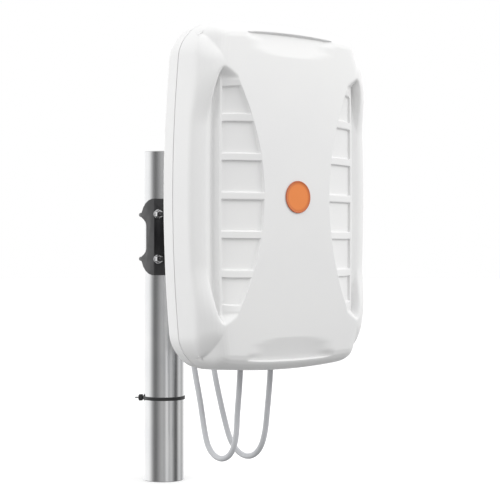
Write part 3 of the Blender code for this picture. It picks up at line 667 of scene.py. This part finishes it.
strap = make_strap()
tie_head = tie_block("tie_head", 29.6, 35.4, 4.4, -4.4, 4.4, 1.1)
tie_pawl = tie_block("tie_pawl", 35.2, 36.0, 2.6, -2.9, 2.9, 0.35)
tie_tail = tie_block("tie_tail", 35.9, 40.8, 2.3, -0.65, 0.65, 0.3)
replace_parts(strap, "cable_tie")
for piece in (strap, tie_head, tie_pawl, tie_tail):
    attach(piece, "clamp")


# U-bolts: a bent rod with a rolled thread on the end of each leg.

def threaded(length, thread_from, pitch=1.0):
    """How a rod's radius changes along it, with a thread and a chamfer on the stretch at each end."""
    def swell(travelled):
        end = min(travelled, length - travelled)
        if end > thread_from:
            return 1.0
        thread = 0.955 + 0.035 * math.cos(math.tau * end / pitch)
        chamfer = 1.0 - 0.12 * (1 - between(end, 0.0, 0.9))
        return thread * chamfer
    return swell


def fine_path(corners, step):
    """Points about one step apart along straight stretches from corner to corner."""
    points = [Vector(corners[0])]
    for a, b in zip(corners, corners[1:]):
        count = max(1, round((Vector(b) - Vector(a)).length / step))
        points += [Vector(a).lerp(Vector(b), k / count) for k in range(1, count + 1)]
    return points


def make_u_bolt(name, z):
    bend = []
    for k in range(73):
        angle = math.pi * k / 72
        bend.append(Vector((U_BOLT_X * math.cos(angle), U_BOLT_X * math.sin(angle) - 1.2, z)))
    right_leg = fine_path([(U_BOLT_X, U_BOLT_END_Y, z), bend[0]], 0.2)[:-1]
    left_leg = fine_path([bend[-1], (-U_BOLT_X, U_BOLT_END_Y, z)], 0.2)[1:]
    points = right_leg + bend + left_leg
    return smooth(tube(name, points, ROD_RADIUS, 20, threaded(path_length(points), 22.0)), 60)


for name, z in zip(("upper", "lower"), U_BOLT_HEIGHTS):
    u_bolt = make_u_bolt(f"u_rod_{name}", z)
    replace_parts(u_bolt, f"u_bolt_{name}")
    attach(u_bolt, "clamp")


# Connectors

def knurled(obj, start, low, high, inner, count, depth):
    """Pushes the surface outside the inner radius into waves, from low to high below start, as a grip."""
    for vertex in obj.data.vertices:
        offset = vertex.co / MM - start
        height = start.z - (vertex.co / MM).z
        flat = Vector((offset.x, offset.y, 0))
        if low < height < high and flat.length > inner:
            wave = 0.5 + 0.5 * math.cos(count * math.atan2(flat.y, flat.x))
            flat *= 1 - depth / flat.length * wave
            vertex.co.x = (start.x + flat.x) * MM
            vertex.co.y = (start.y + flat.y) * MM
    return obj


# (radius, distance below the connector's top), for the body with its contact and for the coupling nut.
PLUG_BODY = (
    (3.95, 6.0), (3.95, 0.3), (4.3, 0.0), (5.2, 0.0), (5.5, 0.4), (5.5, 6.0), (5.9, 6.3), (5.9, 12.0),
    (5.9, 17.0), (8.0, 17.4), (8.2, 18.0), (8.2, 24.5), (7.8, 25.2), (6.0, 25.4), (6.0, 43.2), (5.6, 43.4),
    (4.6, 43.4), (4.4, 43.0), (4.4, 36.0), (1.6, 35.6), (1.3, 35.4), (1.2, 42.0), (0.0, 42.4),
)
PLUG_NUT = (
    (6.4, 28.2), (8.4, 27.9), (9.6, 28.3), (10.0, 29.0), (10.0, 29.6), (9.5, 30.2), (9.5, 31.0), (10.0, 31.5),
    (10.0, 35.0), (10.0, 40.0), (10.0, 45.5), (9.4, 47.2), (8.2, 47.4), (8.0, 47.2), (8.0, 34.0), (6.4, 33.6),
    (6.4, 28.2),
)


def make_connector(side):
    turn = 1 if side == "left" else -1
    top = on_mast(turn * PLUG_ACROSS, PLUG_OUT, PLUG_TOP_Z)
    foot = top - Vector((0, 0, 10))
    body = smooth(turned(f"plug_{side}", PLUG_BODY, top, foot, 64), 35)
    ring = turned(f"ring_{side}", PLUG_NUT, top, foot, 192)
    knurled(ring, top, 31.3, 45.8, 9.2, 48, 0.45)
    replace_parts(body, f"connector_body_{side}")
    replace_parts(ring, f"coupling_nut_{side}")
    return [body, smooth(ring, 40)]


connectors = {side: make_connector(side) for side in leads}
for pieces in connectors.values():
    for piece in pieces:
        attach(piece, "clamp")


# Materials. Each has a fine grain of its own, in the piece's own coordinates.

class Surface:
    """A material, and the node tree that gives it colour, roughness and grain."""

    def __init__(self, name, color, roughness, metallic=0.0):
        self.material = bpy.data.materials.new(name)
        self.material.use_nodes = True
        self.tree = self.material.node_tree
        self.shader = self.tree.nodes["Principled BSDF"]
        self.color = color
        self.shader.inputs["Base Color"].default_value = (*color, 1)
        self.shader.inputs["Roughness"].default_value = roughness
        self.shader.inputs["Metallic"].default_value = metallic
        self.place = self.tree.nodes.new("ShaderNodeTexCoord").outputs["Object"]
        self.height = None

    def stretched(self, scale):
        mapping = self.tree.nodes.new("ShaderNodeMapping")
        mapping.inputs["Scale"].default_value = scale
        self.tree.links.new(self.place, mapping.inputs["Vector"])
        return mapping.outputs["Vector"]

    def noise(self, scale, detail=3.0, rough=0.55, place=None):
        node = self.tree.nodes.new("ShaderNodeTexNoise")
        node.inputs["Scale"].default_value = scale
        node.inputs["Detail"].default_value = detail
        node.inputs["Roughness"].default_value = rough
        self.tree.links.new(place or self.place, node.inputs["Vector"])
        return node.outputs["Fac"]

    def spread(self, value, low, high, start=0.3, end=0.7):
        node = self.tree.nodes.new("ShaderNodeMapRange")
        node.inputs["From Min"].default_value = start
        node.inputs["From Max"].default_value = end
        node.inputs["To Min"].default_value = low
        node.inputs["To Max"].default_value = high
        self.tree.links.new(value, node.inputs["Value"])
        return node.outputs["Result"]

    def vary_color(self, value, other):
        node = self.tree.nodes.new("ShaderNodeMix")
        node.data_type = "RGBA"
        node.inputs["A"].default_value = (*self.color, 1)
        node.inputs["B"].default_value = (*other, 1)
        self.tree.links.new(value, node.inputs["Factor"])
        self.tree.links.new(node.outputs["Result"], self.shader.inputs["Base Color"])

    def vary_roughness(self, value, low, high):
        self.tree.links.new(self.spread(value, low, high), self.shader.inputs["Roughness"])

    def bump(self, value, distance, strength=1.0):
        node = self.tree.nodes.new("ShaderNodeBump")
        node.inputs["Distance"].default_value = distance
        node.inputs["Strength"].default_value = strength
        self.tree.links.new(value, node.inputs["Height"])
        if self.height:
            self.tree.links.new(self.height, node.inputs["Normal"])
        self.height = node.outputs["Normal"]
        self.tree.links.new(self.height, self.shader.inputs["Normal"])

    def gloss(self, **settings):
        for name, value in settings.items():
            self.shader.inputs[name.replace("_", " ")].default_value = value


def moulded_plastic(name, color, other, roughness, grain):
    surface = Surface(name, color, roughness)
    surface.vary_color(surface.spread(surface.noise(9.0), 0.0, 1.0), other)
    surface.vary_roughness(surface.noise(60.0), roughness - 0.05, roughness + 0.06)
    surface.bump(surface.noise(1400.0, 2.0), grain)
    return surface.material


def drawn_steel():
    surface = Surface("mast_steel", (0.62, 0.62, 0.62), 0.2, 1.0)
    lines = surface.noise(1.0, 4.0, 0.6, surface.stretched((900, 900, 7)))
    surface.vary_color(surface.spread(surface.noise(14.0, 5.0), 0.0, 1.0), (0.56, 0.565, 0.575))
    surface.vary_roughness(lines, 0.16, 0.25)
    surface.bump(lines, 0.000012)
    surface.bump(surface.noise(22.0, 2.0), 0.00006, 0.5)
    return surface.material


def powder_coat():
    surface = Surface("clamp_black", (0.018, 0.018, 0.020), 0.42)
    surface.vary_color(surface.spread(surface.noise(25.0), 0.0, 1.0), (0.030, 0.030, 0.032))
    surface.vary_roughness(surface.noise(90.0), 0.34, 0.5)
    surface.bump(surface.noise(700.0, 2.0), 0.00005)
    return surface.material


def bright_metal(name, color, other, roughness):
    surface = Surface(name, color, roughness, 1.0)
    surface.vary_color(surface.spread(surface.noise(40.0), 0.0, 1.0), other)
    surface.vary_roughness(surface.noise(160.0), roughness - 0.06, roughness + 0.1)
    surface.bump(surface.noise(900.0), 0.00002)
    return surface.material


def cable_jacket():
    surface = Surface("lead_grey", (0.60, 0.61, 0.63), 0.42)
    surface.vary_color(surface.spread(surface.noise(30.0), 0.0, 1.0), (0.54, 0.55, 0.57))
    surface.vary_roughness(surface.noise(120.0), 0.36, 0.5)
    surface.bump(surface.noise(500.0, 2.0), 0.00004)
    return surface.material


def badge_face():
    """Orange, a little deeper towards the rim, under a clear coat."""
    surface = Surface("badge_orange", (0.86, 0.27, 0.075), 0.35)
    away = surface.tree.nodes.new("ShaderNodeVectorMath")
    away.operation = "DISTANCE"
    away.inputs[1].default_value = (0, FACE_Y * MM, PANEL_Z * MM)
    surface.tree.links.new(surface.place, away.inputs[0])
    edge = surface.spread(away.outputs["Value"], 0.0, 1.0, 0.0150, BADGE_RADIUS * MM)
    surface.vary_color(edge, (0.50, 0.11, 0.03))
    surface.bump(surface.noise(900.0, 2.0), 0.00001)
    surface.gloss(Coat_Weight=0.6, Coat_Roughness=0.12)
    return surface.material


def circuit_board():
    """Green lacquer, paler where there is copper under it."""
    surface = Surface("board_green", (0.02, 0.14, 0.06), 0.35)
    copper = surface.noise(220.0, 1.0)
    surface.vary_color(surface.spread(copper, 0.0, 1.0, 0.48, 0.52), (0.03, 0.19, 0.08))
    surface.bump(copper, 0.00003)
    return surface.material


# Colour, the colour that it drifts to, roughness and, for plastics, the height of the grain in metres.
PLASTICS = {
    "case_white": ((0.84, 0.84, 0.835), (0.82, 0.82, 0.82), 0.42, 0.00003),
    "seal_grey": ((0.07, 0.07, 0.075), (0.09, 0.09, 0.09), 0.75, 0.00005),
    "nylon_black": ((0.016, 0.016, 0.017), (0.024, 0.024, 0.025), 0.42, 0.00003),
    "nylon_white": ((0.70, 0.70, 0.68), (0.66, 0.66, 0.64), 0.45, 0.00003),
    "coax_brown": ((0.32, 0.14, 0.06), (0.28, 0.12, 0.05), 0.35, 0.00002),
}
METALS = {
    "stainless": ((0.66, 0.66, 0.67), (0.58, 0.58, 0.60), 0.26),
    "sheet_aluminium": ((0.78, 0.79, 0.80), (0.72, 0.73, 0.74), 0.4),
    "nickel": ((0.70, 0.67, 0.60), (0.62, 0.60, 0.55), 0.24),
}
SURFACES = {
    "badge_orange": badge_face(),
    "mast_steel": drawn_steel(),
    "clamp_black": powder_coat(),
    "board_green": circuit_board(),
    "lead_grey": cable_jacket(),
    **{name: moulded_plastic(name, *values) for name, values in PLASTICS.items()},
    **{name: bright_metal(name, *values) for name, values in METALS.items()},
}
SLOTS = {entry["node"]: entry["material_slot"] for entry in frame["record"]["subparts"]}


def dress(obj, slot):
    obj.data.materials.clear()
    obj.data.materials.append(SURFACES[slot])


for obj in bpy.data.objects:
    if obj.get("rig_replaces"):
        dress(obj, SLOTS[obj["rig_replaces"][0]])
for piece in (tie_head, tie_pawl, tie_tail):
    dress(piece, "nylon_black")

for name, node in frame["nodes"].items():
    if node.hide_render:
        continue
    dress(node, SLOTS[name])
    node.modifiers.new("weld", "WELD").merge_threshold = 0.005 * MM
    rounded_edges(node, 0.9 if SLOTS[name] == "clamp_black" else 0.35, 2, 32)
    smooth(node, 32)


# Floor and studio

bpy.ops.mesh.primitive_circle_add(vertices=96, radius=14.0, fill_type="NGON")
floor = bpy.context.object
floor.name = "floor"
floor.visible_diffuse = False
floor.visible_glossy = False
paper = Surface("floor", (0.95, 0.95, 0.95), 0.9)
paper.gloss(Emission_Color=(1, 1, 1, 1), Emission_Strength=0.12)
paper.bump(paper.noise(300.0), 0.00002)
floor.data.materials.append(paper.material)

# The studio's walls, as the antenna sees them: (degrees round from the front towards the right, brightness).
WALLS = (
    (-180, 1.5), (-95, 1.5), (-82, 1.25), (-70, 0.75), (-58, 0.35), (-46, 0.2), (-34, 0.3), (-20, 0.5),
    (-5, 0.68), (6, 0.5), (13, 0.8), (20, 1.2), (28, 0.9), (36, 0.66), (47, 0.92), (59, 0.42), (70, 0.16),
    (80, 0.12), (92, 0.7), (102, 1.05), (124, 0.6), (145, 1.05), (180, 1.5),
)
# How much the walls count at each height, and how bright the rest is. -1 is straight down, 1 straight up.
WALL_SHARE = ((-1.0, 0.0), (-0.42, 0.0), (-0.25, 1.0), (0.16, 1.0), (0.34, 0.0), (1.0, 0.0))
SKY = ((-1.0, 0.36), (-0.3, 0.5), (0.0, 0.8), (0.4, 1.0), (1.0, 1.1))


def math_node(tree, operation, first, second):
    node = tree.nodes.new("ShaderNodeMath")
    node.operation = operation
    for socket, value in zip(node.inputs, (first, second)):
        if isinstance(value, float):
            socket.default_value = value
        else:
            tree.links.new(value, socket)
    return node.outputs["Value"]


def dot(tree, vector, way):
    node = tree.nodes.new("ShaderNodeVectorMath")
    node.operation = "DOT_PRODUCT"
    node.inputs[1].default_value = way
    tree.links.new(vector, node.inputs[0])
    return node.outputs["Value"]


def ramp(tree, value, stops, low, high):
    """A brightness that follows the stops, which are (position, brightness), from low to high."""
    place = tree.nodes.new("ShaderNodeMapRange")
    place.inputs["From Min"].default_value = low
    place.inputs["From Max"].default_value = high
    tree.links.new(value, place.inputs["Value"])
    node = tree.nodes.new("ShaderNodeValToRGB")
    tree.links.new(place.outputs["Result"], node.inputs["Fac"])
    elements = node.color_ramp.elements
    brightest = max(brightness for position, brightness in stops)
    for index, (position, brightness) in enumerate(stops):
        if index in (0, len(stops) - 1):
            element = elements[0 if index == 0 else -1]
        else:
            element = elements.new((position - low) / (high - low))
        element.color = [brightness / brightest] * 3 + [1.0]
    return math_node(tree, "MULTIPLY", node.outputs["Color"], brightest)


def make_studio():
    """Light from the walls and the sky on the antenna, and plain white wherever nothing stands."""
    world = bpy.data.worlds.new("studio")
    bpy.context.scene.world = world
    world.use_nodes = True
    tree = world.node_tree
    out = tree.nodes["World Output"]
    lit = tree.nodes["Background"]
    lit.inputs["Color"].default_value = (1, 1, 1, 1)
    way = tree.nodes.new("ShaderNodeTexCoord").outputs["Generated"]
    toward = (-math.sin(CAMERA_HEADING), -math.cos(CAMERA_HEADING), 0)
    right = (math.cos(CAMERA_HEADING), -math.sin(CAMERA_HEADING), 0)
    turn = math_node(tree, "ARCTAN2", dot(tree, way, right), dot(tree, way, toward))
    walls = ramp(tree, turn, [(math.radians(a), b) for a, b in WALLS], -math.pi, math.pi)
    height = dot(tree, way, (0, 0, 1))
    sky = ramp(tree, height, SKY, -1.0, 1.0)
    share = ramp(tree, height, WALL_SHARE, -1.0, 1.0)
    kept = math_node(tree, "SUBTRACT", 1.0, share)
    from_walls = math_node(tree, "MULTIPLY", walls, share)
    strength = math_node(tree, "ADD", from_walls, math_node(tree, "MULTIPLY", sky, kept))
    tree.links.new(strength, lit.inputs["Strength"])
    white = tree.nodes.new("ShaderNodeBackground")
    white.inputs["Strength"].default_value = 1.0
    white.inputs["Color"].default_value = (1, 1, 1, 1)
    mix = tree.nodes.new("ShaderNodeMixShader")
    tree.links.new(tree.nodes.new("ShaderNodeLightPath").outputs["Is Camera Ray"], mix.inputs["Fac"])
    tree.links.new(lit.outputs["Background"], mix.inputs[1])
    tree.links.new(white.outputs["Background"], mix.inputs[2])
    tree.links.new(mix.outputs["Shader"], out.inputs["Surface"])


def softbox(name, at, target, size, watts):
    light = bpy.data.lights.new(name, "AREA")
    light.shape = "RECTANGLE"
    light.size, light.size_y = size
    light.energy = watts
    lamp = bpy.data.objects.new(name, light)
    lamp.location = at
    lamp.rotation_euler = (Vector(target) - Vector(at)).to_track_quat("-Z", "Y").to_euler()
    lamp.visible_glossy = False
    bpy.context.scene.collection.objects.link(lamp)


make_studio()
softbox("key", (-2.7, -0.1, 1.3), (0, -0.2, 0.35), (1.4, 1.4), 18)
softbox("fill", (1.5, -2.1, 1.9), (0, -0.2, 0.4), (1.4, 1.4), 31)
bpy.context.scene.view_settings.view_transform = "Standard"
